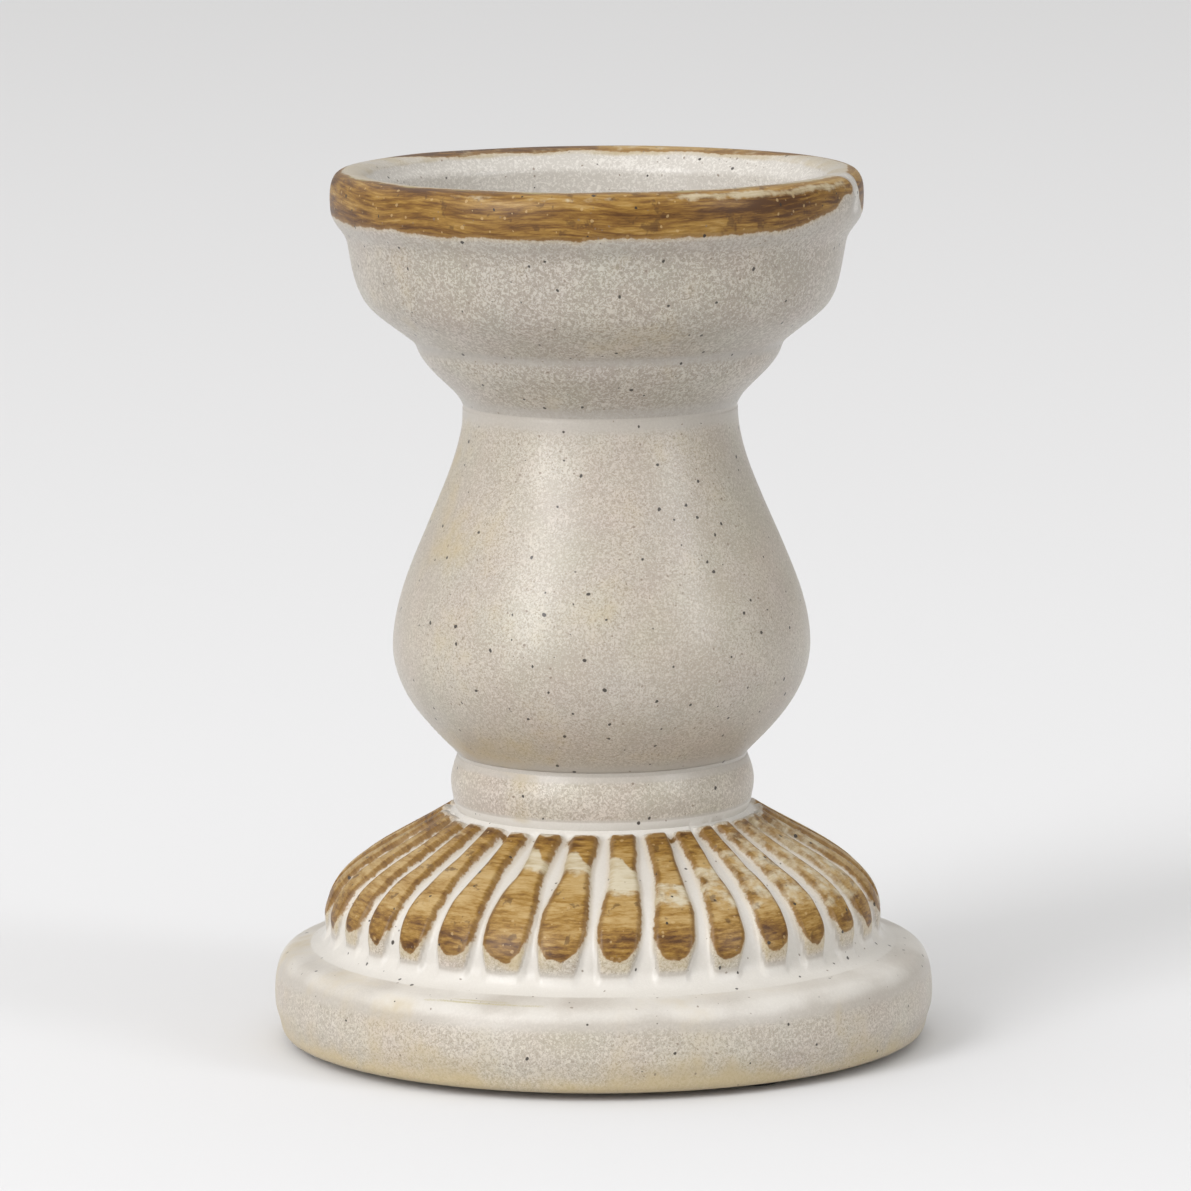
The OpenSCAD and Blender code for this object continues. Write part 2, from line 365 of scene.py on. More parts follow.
def makeGlaze(name, painted, tone, scale, contrast, mottle, share):
    look = {label: tuple(tone * part for part in color) for label, color in glazeLook.items()}
    look.update(sameLook)
    material = bpy.data.materials.new(name)
    material.use_nodes = True
    tree = material.node_tree
    shader = tree.nodes["Principled BSDF"]
    place = addNode(tree, "ShaderNodeTexCoord").outputs["Object"]
    fleck = placeGroup(tree, flecks, Scale=scale, Cover=0.52)
    fine = noiseOf(tree, place, 3600, 2, 0.6)
    color = covered(tree, look["stone"], fleck.outputs["Mask"], contrast, look["cream"])
    color = mixColor(tree, remap(tree, fine, 0.35, 0.68, 0.0, 0.22), color, look["cream"])
    tint = noiseOf(tree, place, 70, 2, 0.6, output="Color")
    color = mixColor(tree, 0.045, color, tint, "OVERLAY")
    cloudy = calc(tree, "SUBTRACT", fleck.outputs["Cloud"], 0.5)
    thin = addShare(tree, layerOf(tree, "toast"), cloudy, 1.5)
    pitted = times(tree, fleck.outputs["Pit"], remap(tree, thin, -0.1, 0.7, 0.15, 0.75))
    color = mixColor(tree, pitted, color, look["pit"])
    # a pool of glaze first hides the flecks and then turns white, and thin glaze is toasted
    pool = addShare(tree, layerOf(tree, "pool"), cloudy, 0.5)
    color = mixColor(tree, remap(tree, pool, 0.05, 0.45, 0.0, 0.8), color, look["smooth"])
    dim = mixColor(tree, mottle, look["pooled"], look["smooth"])
    white = mixColor(tree, fleck.outputs["Mask"], dim, look["pooled"])
    color = mixColor(tree, remap(tree, pool, 0.5, 0.95, 0.0, 0.95), color, white)
    color = mixColor(tree, remap(tree, thin, 0.28, 1.0, 0.0, 0.8), color, look["toasted"])
    height = times(tree, fleck.outputs["Mask"], 0.5)
    if painted:
        edge = layerOf(tree, "paint")
        brush = placeGroup(tree, brushwork, Stroke=layerOf(tree, "stroke", "Vector"), Edge=edge,
                           Wipe=layerOf(tree, "wipe"), Depth=layerOf(tree, "depth"))
        brown = brush.outputs["Mask"]
        stain = addShare(tree, edge, fine, 0.8)
        color = mixColor(tree, remap(tree, stain, -0.7, 0.7, 0.0, 0.5), color, look["stain"])
        color = mixColor(tree, brown, color, brush.outputs["Color"])
        height = addNode(tree, "ShaderNodeMix", {0: brown, 2: height, 3: brush.outputs["Height"]})
        height = height.outputs[0]
        line = addShare(tree, layerOf(tree, "olive"), fine, 0.5)
        color = mixColor(tree, remap(tree, line, 0.2, 0.5, 0, 0.8), color, look["olive"])
        gloss = remap(tree, brown, 0, 1, 0.8, 0.28)
    else:
        gloss = remap(tree, fine, 0, 1, 0.75, 0.85)
    bigSpeck = placeGroup(tree, specks, Scale=330.0, Size=0.15, Share=share).outputs["Mask"]
    smallSpeck = placeGroup(tree, specks, Scale=520.0, Size=0.15, Share=share).outputs["Mask"]
    color = covered(tree, color, smallSpeck, 0.7, look["rust"])
    color = covered(tree, color, bigSpeck, 0.97, look["iron"])
    bare = remap(tree, addShare(tree, layerOf(tree, "clay"), fine, 0.3), 0.45, 0.75)
    clay = mixColor(tree, remap(tree, fine, 0.35, 0.65, 0.0, 0.4), look["clay"], look["clayGrain"])
    cloud = remap(tree, fleck.outputs["Cloud"], 0.4, 0.7, 0.0, 0.5)
    clay = mixColor(tree, cloud, clay, look["clayCloud"])
    color = mixColor(tree, bare, color, clay)
    rough = addShare(tree, remap(tree, fine, 0.3, 0.7, 0.40, 0.50), bare, 0.35)
    bump = addNode(tree, "ShaderNodeBump", {"Strength": 0.35, "Distance": 0.00012, "Height": height})
    tree.links.new(color, shader.inputs["Base Color"])
    tree.links.new(rough, shader.inputs["Roughness"])
    tree.links.new(bump.outputs["Normal"], shader.inputs["Normal"])
    tree.links.new(gloss, shader.inputs["Coat Weight"])
    shader.inputs["Coat Roughness"].default_value = 0.36
    shader.inputs["Specular IOR Level"].default_value = 0.2
    return material


# candle cup

cupShape = {
    "neckR": 26.3, "stepR": 35.3, "stepRise": 12.0, "bowlR": 47.6, "rimDrop": 13.5, "rimR": 51.0,
    "crownR": 47.4, "boreR": 41.5, "depth": 26.0, "cornerR": 6.0, "lipR": 2.0, "crease": 0.4,
    "wall": 6.0, "spigotR": 20.0, "hollowR": 15.0, "lean": -0.4, "segments": 432, "spacing": 0.55,
    "uneven": 0.10, "swell": ((0.6, 30, 11), (0.4, 9, 12)), "crownSag": 0.05,
    # for the glaze, azimuths are in degrees, and lengths go from the crown, outwards and down
    "bandLow": 10.5, "bandHigh": 0.5,      # where the brown band ends, down and up
    "drip": (-4, 2.2, 0.8),                # azimuth, half width, length
    "bite": (44, 62, 70, 90, 2.4),         # the band ends higher between these, and by how much
    "back": (108, 140, 3.8),               # past these it reaches further over the crown
    "leftCrown": (-60, -78, 0.6),          # and between these it stops short of it
    "run": (73, 2.6, 5.0, 8.5),            # white run: azimuth, half width, where it thins and ends
    "runDrop": (74, 3.0, 8.2, 1.5),        # the drop at its end: azimuth, half width, place, length
    "runSide": (68, 5.0, 3.2),             # the band is thinner beside it
    "paleStreak": (16, 66, 2.7),           # wiped streaks along the band: from, to, place
    # painted highlight: the key lamp's reflection on the band, drawn as a wiped streak: from, to, place
    "highlightStreak": (-32, 2, 2.9),
    "darkStreak": (-62, -45, -12, 0, 1.7, 0.45),    # fades in, fades out, place, half width
}


def cupOutline(footZ, neckZ, topZ):  # from the neck up to the crown, down inside, and the hidden rest
    shape = cupShape
    crease, spacing, corner = shape["crease"], shape["spacing"], shape["cornerR"]
    stepTop, rimZ, floorZ = neckZ + shape["stepRise"], topZ - shape["rimDrop"], topZ - shape["depth"]
    stepEdge = [shape["stepR"] - crease / 2, stepTop - crease]
    bowlTop = [shape["bowlR"], rimZ]
    bandFoot = [shape["rimR"] - crease / 2, rimZ + 0.44 * shape["rimDrop"]]
    crown = [shape["crownR"], topZ]
    lip = [shape["boreR"] + shape["lipR"], topZ - shape["lipR"]]
    outside = np.concatenate([
        bowPoints([shape["neckR"], neckZ], stepEdge, [0.04, 0.22], [0.94, 0.62]),
        bowPoints([shape["stepR"], stepTop], bowlTop, [0.77, 0.4], [0.82, 0.29]),
        bowPoints(bowlTop, bandFoot, [0.12, 0.37], [0.94, 0.56]),
        bowPoints(bandFoot, crown, [-0.14, 0.8], [0.15, 1])])
    inside = np.concatenate([
        bowPoints(crown, lip, [0.5, 0], [1, 0.3]),
        [[shape["boreR"], topZ - 2 * shape["lipR"]]],
        arcPoints(shape["boreR"] - corner, floorZ + corner, corner, 0, -90)])
    outside = softened(evenPoints(outside, spacing), 3)
    inside = softened(evenPoints(inside, spacing), 2)[1:]
    floor = evenPoints([inside[-1], [0, floorZ]], 1.5)[1:]
    underZ = floorZ - shape["wall"]
    hidden = [[0, underZ], [shape["stepR"] - shape["wall"], underZ],
              [shape["hollowR"], neckZ + crease], [shape["hollowR"], footZ],
              [shape["spigotR"], footZ], [shape["spigotR"], neckZ]]
    return outside, inside, np.concatenate([floor, hidden])


def bandLayers(degrees, s, roundRim, run, drop):
    # brown band, as millimetres inside its edge
    shape = cupShape
    back = smoothStep(np.abs(degrees), *shape["back"][:2])
    dripAt, dripHalf, dripLength = shape["drip"]
    biteFrom, biteFull, biteBack, biteTo, biteRise = shape["bite"]
    lowEdge = shape["bandLow"] + waves(roundRim, (0.35, 26, 21), (0.15, 7, 22))
    lowEdge = lowEdge + dripLength * hump(degrees, dripAt, dripHalf)
    bite = smoothStep(degrees, biteFrom, biteFull) * smoothStep(degrees, biteTo, biteBack)
    lowEdge = lowEdge - biteRise * bite
    leftFrom, leftFull, leftDrop = shape["leftCrown"]
    leftCrown = smoothStep(degrees, leftFrom, leftFull) * (1 - back)
    highEdge = shape["bandHigh"] + 0.25 * ripple(roundRim, 18, 23)
    highEdge = highEdge - shape["back"][2] * back + leftDrop * leftCrown
    sideAt, sideHalf, sideDepth = shape["runSide"]
    paint = np.minimum(lowEdge - s, s - highEdge) - 6 * np.maximum(run, 1.3 * drop)
    paint = paint - sideDepth * hump(degrees, sideAt, sideHalf) * smoothStep(s, 3, 6)
    # wiped streaks along the band, a painted highlight drawn as one more streak on the left front, and
    # one over the crown at the back
    paleFrom, paleTo, paleAt = shape["paleStreak"]
    middle = paleAt + 0.012 * (degrees - 20) + 0.25 * ripple(roundRim, 15, 24)
    pale = np.minimum((degrees - paleFrom) * 0.25, (paleTo - degrees) * 0.25)
    pale = np.minimum(0.55 - np.abs(s - middle), pale)
    # the painted highlight: a paler streak where the lamp's reflection falls
    highlightFrom, highlightTo, highlightAt = shape["highlightStreak"]
    paintedHighlight = np.minimum((degrees - highlightFrom) * 0.2, (highlightTo - degrees) * 0.2)
    paintedHighlight = np.minimum(0.35 * ripple(roundRim, 10, 25) - 0.05 - np.abs(s - highlightAt), paintedHighlight)
    behind = np.minimum(0.8 - s, -0.45) * back - 3 * (1 - back)
    wipe = np.maximum(np.maximum(pale, paintedHighlight), behind)
    # thicker, darker wash on the left, in one streak under the crown, and towards the lower edge
    darkFrom, darkFull, darkBack, darkTo, darkAt, darkHalf = shape["darkStreak"]
    dark = hump(s, darkAt + 0.2 * ripple(roundRim, 12, 28), darkHalf)
    dark = dark * smoothStep(degrees, darkFrom, darkFull) * smoothStep(degrees, darkTo, darkBack)
    depth = 1.1 * smoothStep(degrees, -15, -60) + 0.55 * smoothStep(degrees, 12, 45) * (s > 3.6)
    depth = depth + dark + 0.35 * smoothStep(s, 6.5, 9.5) + 0.1
    fineLine = 0.2 - 0.8 * np.abs(s - 0.9) + 0.15 * ripple(roundRim, 12, 27) - 3 * back
    layers = {"paint": np.clip(paint, -5, 5), "wipe": np.clip(wipe, -5, 5),
              "olive": np.clip(fineLine, -1, 1), "depth": depth}
    return lowEdge, layers


def makeCup():
    shape = cupShape
    low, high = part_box("candle_cup")
    topZ, neckZ = high.z / mm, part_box("upper_slip_ring")[1].z / mm
    stepTop, rimZ = neckZ + shape["stepRise"], topZ - shape["rimDrop"]
    outside, inside, rest = cupOutline(low.z / mm, neckZ, topZ)
    outline = np.concatenate([outside, inside, rest])
    azimuth = azimuths(shape["segments"])
    degrees = np.degrees(azimuth)
    places = spun(azimuth, outline[:, :1], outline[:, 1:])
    shown = np.zeros((len(outline), 1))
    shown[4:len(outside) + len(inside)] = 1
    radius = outline[:, :1] + shape["uneven"] * (waves(places, *shape["swell"]) - 0.6) * shown
    sag = np.maximum(1 + ripple(places, 26, 13), 0) * (outline[:, 1:] > topZ - 2)
    height = outline[:, 1:] + 0 * azimuth - shape["crownSag"] * shown * sag
    places = spun(azimuth, radius, height)
    # s is the length from the crown, and a thick run of white glaze crosses it on the right
    s = (lengthAlong(outline)[len(outside) - 1] - lengthAlong(outline))[:, None] + 0 * azimuth
    runAt, runHalf, runThin, runEnd = shape["run"]
    run = hump(degrees, runAt + 0.3 * s, runHalf) * smoothStep(s, -3, 1) * smoothStep(s, runEnd, runThin)
    dropAt, dropHalf, dropPlace, dropLength = shape["runDrop"]
    drop = hump(degrees, dropAt, dropHalf) * hump(s, dropPlace, dropLength)
    roundRim = np.stack([60 * np.sin(azimuth) + 0 * s, 60 * np.cos(azimuth) + 0 * s], -1)
    lowEdge, layers = bandLayers(degrees, s, roundRim, run, drop)
    # white pools under the band, on the two lines below it and on the crown, and the whole bore whiter
    cove = smoothStep(s, lowEdge - 0.5, lowEdge + 0.6) * smoothStep(s, lowEdge + 4.8, lowEdge + 3.0)
    lines = np.maximum(hump(height, stepTop - 0.3, 1.3), hump(height, neckZ + 0.5, 2.0)) * (s > 5)
    within = smoothStep(s, -3.0, -4.8)
    crownTop = smoothStep(s, -5.0, -3.8) * smoothStep(s, 1.5, 0.5)
    pool = 0.85 * crownTop + 0.4 * np.maximum(0.5 * cove, lines) + within + 1.2 * run + drop
    pool = np.clip(pool, 0, 1.2)
    leftBowl = smoothStep(degrees, 10, -60) * (s > lowEdge + 4)
    toast = np.clip(0.14 + 0.14 * ripple(places, 34, 31) + 0.20 * leftBowl, 0, 1)
    toast = np.maximum(toast * (1 - np.clip(pool, 0, 1)), 0.7 * crownTop)
    layers["pool"], layers["toast"], layers["clay"] = pool, toast, 0 * s
    layers["stroke"] = np.stack([s + 0.5 * ripple(roundRim, 30, 26), 5.0 * np.sin(azimuth) + 0 * s,
                                 5.0 * np.cos(azimuth) + 0 * s], -1)
    places[..., 0] += shape["lean"] * smoothStep(places[..., 2], neckZ, rimZ)
    return turnedPiece("candleCup", places, layers)


# stem

stemShape = {
    "lowNeckR": 27.9, "bellyR": 40.1, "bellyRise": 21.0, "topNeckR": 26.3, "wall": 6.0,
    "spigotR": 21.6, "hollowR": 16.6, "socketSpare": 1.0, "segments": 360, "spacing": 0.6,
    "uneven": 0.10, "swell": ((0.6, 34, 41), (0.4, 10, 42)),
    "patch": (-60, 14, 42, 6),    # warm patch: azimuth, half width, height on the stem, half height
}


def stemLine(depth, footZ, topZ):
    shape = stemShape
    low = [shape["lowNeckR"] - depth, footZ]
    middle = [shape["bellyR"] - depth, footZ + shape["bellyRise"]]
    top = [shape["topNeckR"] - depth, topZ]
    return np.concatenate([bowPoints(low, middle, [0.36, 0.22], [1, 0.53]),
                           bowPoints(middle, top, [0, 0.31], [1, 0.71])])


def makeStem():
    shape = stemShape
    low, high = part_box("stem")
    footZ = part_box("lower_slip_ring")[1].z / mm
    topZ = high.z / mm
    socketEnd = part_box("candle_cup")[0].z / mm - shape["socketSpare"]
    socketR = shape["topNeckR"] - shape["wall"]
    outside = evenPoints(stemLine(0, footZ, topZ), shape["spacing"])
    hollow = stemLine(shape["wall"], footZ, topZ)[::-1]
    hollow = hollow[(hollow[:, 1] > footZ + shape["wall"]) & (hollow[:, 1] < socketEnd)][::3]
    lowZ = low.z / mm
    hidden = np.concatenate([[[socketR, topZ], [socketR, socketEnd]], hollow,
                             [[shape["hollowR"], footZ + shape["wall"] / 2], [shape["hollowR"], lowZ],
                              [shape["spigotR"], lowZ], [shape["spigotR"], footZ]]])
    outline = np.concatenate([outside, hidden])
    azimuth = azimuths(shape["segments"])
    degrees = np.degrees(azimuth)
    places = spun(azimuth, outline[:, :1], outline[:, 1:])
    height = outline[:, 1:] + 0 * azimuth
    shown = np.zeros((len(outline), 1))
    shown[1:len(outside) - 1] = 1
    ends = smoothStep(height, footZ, footZ + 4) * smoothStep(height, topZ, topZ - 4)
    bump = shape["uneven"] * ends * (waves(places, *shape["swell"]) - 0.5)
    places = spun(azimuth, outline[:, :1] + bump * shown, height)
    pool = 0.5 * hump(height, topZ, 2.2) + 0.5 * hump(height, footZ, 2.0)
    left = leftSide(degrees, 0)
    patchAt, patchHalf, patchRise, patchTall = shape["patch"]
    patch = hump(degrees, patchAt, patchHalf) * hump(height, footZ + patchRise, patchTall)
    toast = 0.08 + 0.13 * ripple(places, 40, 43) + 0.26 * left + 0.4 * patch
    toast = toast + 0.34 * smoothStep(height, footZ + 11, footZ + 3)
    layers = {"pool": np.clip(pool, 0, 1), "toast": np.clip(toast, 0, 1) * (1 - pool), "clay": 0 * pool}
    return turnedPiece("hollowStem", places, layers)


# ribbed base

baseShape = {
    "plinthR": 63.5, "bulge": 1.2, "edgeR": 1.6, "shoulderR": 60.3, "plinthH": 16.4, "floor": 6.0,
    "pourR": 20.0, "ribFootR": 54.0, "ledgeRise": 4.4, "skirtH": 24.7, "slope": 33.0, "ribs": 32,
    "phase": 3.75, "ribDepth": 1.6, "ribTopHalf": 2.15, "ribWideHalf": 3.6, "ribSide": 0.45,
    "collarR": 29.1, "collarH": 8.2, "neckR": 27.9, "wall": 6.0, "socketR": 21.9, "socketSpare": 1.0,
    "crease": 0.4, "segments": 768, "spacing": 0.5,
    "uneven": 0.10, "swell": ((0.55, 36, 52), (0.35, 8, 53)),
    # along a rib, lengths go from the collar down
    "ribStart": 1.9,        # upper ends of the ribs
    "ribWidest": 28.0,
    "ribTip": 34.2,         # lower end of the brown
    "stubEnd": 36.6,        # lower end of the rib
    # the ribs were cut by hand, so they are turned round by some degrees, at an azimuth and its reach
    "shifts": ((-2.3, -32, 26), (0.7, 26, 16)),
    "twist": (2.9, 18, 32, 1.53, 17.7),     # and this one lessens along the rib
    "wider": (0.65, -1.8, 1.6, 12, 23),     # more half width: how much, rib, reach, from, to
    # ribs counted from the front towards +X, and where the brown was wiped off each
    "wiped": {-2: (8.0, 12.8), -1: (8.7, 13.7), 0: (10.4, 19.0), 1: (17.2, 21.8), 2: (13.0, 24.0),
              3: (9.0, 24.5), 4: (5.0, 25.0), 5: (3.0, 26.5), 6: (2.0, 27.0), 7: (6.0, 16.0)},
    # azimuths where brown runs across from rib to rib below the collar
    "links": ((-13, -4), (17, 27), (-48, -36), (96, 110), (150, 171)),
    # greenish lines on the ledge: azimuth, half width, place, where they fade out
    "lines": ((-22, 0.30, 0.0, 11, 16), (-24, 0.22, 0.9, 6, 12)),
}


def skirtLine(depth, ledgeZ, topZ):
    shape = baseShape
    slope = math.radians(shape["slope"])
    top = np.array([shape["collarR"] - shape["crease"] - depth * math.sin(slope),
                    topZ - 3 * shape["crease"] - depth * math.cos(slope)])
    foot = np.array([shape["ribFootR"] - depth, ledgeZ])
    lead = 0.57 * (foot[0] - top[0])
    return curvePoints(top, top + lead * np.array([1, -math.tan(slope)]),
                       foot + [0, 0.48 * shape["skirtH"]], foot, 48)


def baseOutline(footZ, topZ):  # plinth, grooves, rib crests, collar and the hidden rest
    shape = baseShape
    crease, spacing = shape["crease"], shape["spacing"]
    shoulderZ = footZ + shape["plinthH"]
    ledgeZ = shoulderZ + shape["ledgeRise"]
    skirtTop = ledgeZ + shape["skirtH"]
    edgeR = shape["plinthR"] - shape["bulge"]
    flatR = edgeR - shape["edgeR"]
    middle = [shape["plinthR"], footZ + shape["plinthH"] / 2]
    shoulder = [shape["shoulderR"], shoulderZ]
    ledgeEnd = [shape["ribFootR"] - shape["ribDepth"], ledgeZ]
    ledge = bowPoints(shoulder, ledgeEnd, [0.45, 0.12], [0.8, 0.25])
    side = np.concatenate([
        arcPoints(flatR, footZ + shape["edgeR"], shape["edgeR"], -88, -8),
        bowPoints([edgeR, footZ + shape["edgeR"]], middle, [0.38, 0.52], [1, 0.35]),
        bowPoints(middle, shoulder, [0, 0.52], [0.3, 0.96])])
    joinAt = int(np.argmin(np.abs(ledge[:, 0] - shape["ribFootR"] - 2.8)))
    plinth = softened(evenPoints(np.concatenate([side, ledge[1:joinAt + 1]]), spacing), 3)
    bulgeAt = int(np.argmax(plinth[:, 0]))
    plinth[bulgeAt:] = softened(plinth[bulgeAt:], 14)
    join = plinth[-1]
    valley = skirtLine(shape["ribDepth"], ledgeZ, skirtTop)[::-1]
    groove = np.concatenate([[join], ledge[joinAt + 1:], valley[1:]])
    ridge = skirtLine(0, ledgeZ, skirtTop)[::-1]
    toe = [[shape["ribFootR"] + 1.5, ledgeZ - 2.2], [shape["ribFootR"] + 0.5, ledgeZ - 0.6]]
    crest = np.concatenate([[join], toe, ridge[ridge[:, 1] > ledgeZ + 1.2]])
    rows = round(lengthAlong(crest)[-1] / spacing)
    groove, crest = (softened(evenPoints(line, lengthAlong(line)[-1] / rows), 4)[1:]
                     for line in (groove, crest))
    innerR, outerR = shape["collarR"] - crease, shape["collarR"] + crease
    bead = curvePoints([innerR, skirtTop], [outerR, skirtTop + 0.36 * shape["collarH"]],
                       [outerR, topZ - 0.43 * shape["collarH"]], [shape["neckR"], topZ])
    collar = np.concatenate([[[innerR, skirtTop - 0.6]], bead])
    collar = softened(evenPoints(collar, spacing), 2)
    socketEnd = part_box("stem")[0].z / mm - shape["socketSpare"]
    inner = skirtLine(shape["wall"] + shape["ribDepth"], ledgeZ, skirtTop)
    inner = inner[(inner[:, 1] > shoulderZ) & (inner[:, 0] > shape["socketR"])][::4]
    socketEnd = min(socketEnd, inner[0, 1] + shape["socketSpare"])
    cavityR, floorZ = shape["shoulderR"] - shape["wall"], footZ + shape["floor"]
    hidden = np.concatenate([
        [[shape["socketR"], topZ], [shape["socketR"], socketEnd]], inner,
        [[cavityR, shoulderZ - shape["wall"]], [cavityR, floorZ], [shape["pourR"], floorZ],
         [shape["pourR"], footZ], [flatR - 6, footZ]]])
    return plinth, groove, crest, collar, hidden


def ribsRound(degrees, fromTop):  # which rib is nearest, and how far it is round from its middle
    shape = baseShape
    pitch = 360 / shape["ribs"]
    shift = sum(size * hump(degrees, at, reach) for size, at, reach in shape["shifts"])
    size, at, reach, start, fade = shape["twist"]
    twist = size * hump(degrees, at, reach) * (start - fromTop / fade)
    turned = degrees - shape["phase"] - shift - twist
    rib = np.round(turned / pitch)
    return rib, np.radians(turned - rib * pitch)


def wipedBrown(rib, across, fromTop, brownHalf, jitter):  # millimetres inside each wiped patch
    wipe = -5 + 0 * across
    # each known patch is slanted, and to the right of the front it is fainter and off to one side
    for number, (wipeFrom, wipeTo) in baseShape["wiped"].items():
        slant = 2.0 * np.tanh(across / 0.7 - 0.4) if number < 1 else 0.2 * across
        reach = np.minimum(fromTop - wipeFrom - slant, 0.4 * (wipeTo - fromTop)) + 0.1 * jitter[4]
        if number > 0:
            reach = np.minimum(reach, 0.2 if number == 1 else -0.05)
        if number > 2:
            reach = np.minimum(reach, brownHalf - 0.9 - across)
        wipe = np.where(rib == number, reach, wipe)
    # the other ribs have a patch by chance
    chance = 1.6 * jitter[5] - 1.2 - np.abs(fromTop - 14 - 5 * jitter[4]) * 0.4
    known = baseShape["wiped"].keys()
    return np.where((rib < min(known)) | (rib > max(known)), chance, wipe)


def makeBase():
    shape = baseShape
    low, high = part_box("fluted_base")
    footZ, topZ = low.z / mm, high.z / mm
    shoulderZ = footZ + shape["plinthH"]
    ledgeZ = shoulderZ + shape["ledgeRise"]
    skirtTop = ledgeZ + shape["skirtH"]
    flatR = shape["plinthR"] - shape["bulge"] - shape["edgeR"]
    plinth, groove, crest, collar, rest = baseOutline(footZ, topZ)
    outline = np.concatenate([plinth, crest, collar, rest])
    skirtStart, skirtEnd = len(plinth), len(plinth) + len(crest)
    shownEnd = skirtEnd + len(collar)
    plinthRows, skirtRows = slice(0, skirtStart), slice(skirtStart, skirtEnd)
    collarRows = slice(skirtEnd, shownEnd)
    azimuth = azimuths(shape["segments"])
    degrees = np.degrees(azimuth)
    along = lengthAlong(outline)
    fromTop = along[skirtEnd - 1] - along[skirtRows][:, None]
    rib, off = ribsRound(degrees, fromTop)
    rng = np.random.default_rng(7)
    jitter = rng.normal(size=(shape["ribs"], 6))[(rib % shape["ribs"]).astype(int)]
    jitter = np.moveaxis(jitter, 2, 0)
    across = off * crest[:, :1] + 0.10 * jitter[0]
    ground = spun(azimuth, crest[:, :1], crest[:, 1:])
    # width of the brown, then of the rib under it
    widest = shape["ribWidest"]
    brownHalf = shape["ribTopHalf"]
    brownHalf = brownHalf + (shape["ribWideHalf"] - brownHalf) * smoothStep(fromTop, 10, widest)
    brownHalf = brownHalf + 0.09 * jitter[1] + 0.12 * ripple(ground, 6, 51)
    size, at, reach, wideFrom, wideTo = shape["wider"]
    brownHalf = brownHalf + size * hump(rib, at, reach) * smoothStep(fromTop, wideFrom, wideTo)
    half = brownHalf + shape["ribSide"] - 0.7 * smoothStep(fromTop, widest + 2, widest + 8)
    start = shape["ribStart"] + 0.25 * jitter[2]
    # rise goes from 0 in a groove to 1 on a crest
    side = smoothStep(half + 0.35 - np.abs(across), 0, 1.5)
    head = smoothStep(fromTop - start + 1.2, 0, 1.4)
    tail = smoothStep(fromTop, shape["stubEnd"] + 2.4, shape["stubEnd"] - 3.6)
    rise = side * head * tail * (1 - 0.12 * np.minimum(np.abs(across / half), 1.2) ** 2)
    band = 0.4 * smoothStep(fromTop, start - 0.2, start - 1.6)
    rise = np.maximum(rise, band)
    radii, heights = outline[:, :1] + 0 * azimuth, outline[:, 1:] + 0 * azimuth
    radii[skirtRows] = groove[:, :1] + rise * (crest[:, :1] - groove[:, :1])
    heights[skirtRows] = groove[:, 1:] + rise * (crest[:, 1:] - groove[:, 1:])
    shown = np.zeros((len(outline), 1))
    shown[3:shownEnd - 1] = 1
    places = spun(azimuth, radii, heights)
    bump = shape["uneven"] * (waves(places, *shape["swell"]) - 0.6)
    places = spun(azimuth, radii + bump * shown * smoothStep(heights, topZ, topZ - 3), heights)
    # brown on the ribs, as millimetres inside its edge
    tip = shape["ribTip"] + 0.55 * jitter[3] + 0.35 * ripple(ground, 3.5, 58)
    nose = np.sqrt(np.clip(1 - (np.maximum(fromTop - widest, 0) / (tip - widest)) ** 2, 0, 1))
    flank = 0.08 + 0.15 * smoothStep(-rib, 1, 4) * (across > 0)
    ends = np.minimum(fromTop - start - 0.5 + 0.4 * ripple(ground, 3, 59), tip - fromTop)
    paint = np.minimum(brownHalf * nose + flank - np.abs(across), ends)
    for linkFrom, linkTo in shape["links"]:
        reach = np.minimum(degrees - linkFrom, linkTo - degrees) * 0.4
        link = np.minimum(reach, 0.75 - np.abs(fromTop - start - 1.1)) + 0.1 * jitter[4]
        paint = np.maximum(paint, link)
    wipe = wipedBrown(rib, across, fromTop, brownHalf, jitter)
    # thicker wash at both ends of a rib, and thin along its middle
    middle = smoothStep(fromTop, 6, 12) * smoothStep(fromTop, 30, 22)
    middle = middle * smoothStep(brownHalf - np.abs(across), 0.3, 1.3)
    depth = 0.5 * smoothStep(fromTop, widest - 3, tip) + 0.45 * smoothStep(fromTop, 8, 3)
    depth = depth + 0.1 * jitter[5] - 1.25 * middle - 0.08
    # white in the grooves and round the collar's foot, and bare grey stubs below the brown
    stub = smoothStep(fromTop, widest + 2, widest + 4) * smoothStep(rise, 0.4, 0.8)
    stub = stub * smoothStep(heights[skirtRows], ledgeZ - 0.6, ledgeZ + 0.4)
    white = np.maximum(1 - smoothStep(rise, 0.25, 0.8), band / 0.35)
    white = white - 0.27 * stub + 0.25 * smoothStep(wipe, 0.2, 1.4)
    plain = {"paint": -5, "wipe": -5, "pool": 0, "toast": 0, "olive": -1, "clay": 0, "depth": 0}
    layers = {label: np.zeros(radii.shape) + value for label, value in plain.items()}
    layers["paint"][skirtRows] = np.clip(paint, -5, 5)
    layers["wipe"][skirtRows] = np.clip(wipe, -5, 5)
    layers["depth"][skirtRows] = depth
    layers["pool"][skirtRows] = np.clip(white, 0, 1)
    layers["toast"][skirtRows] = 0.6 * stub
    z = outline[:, 1:] + 0 * azimuth
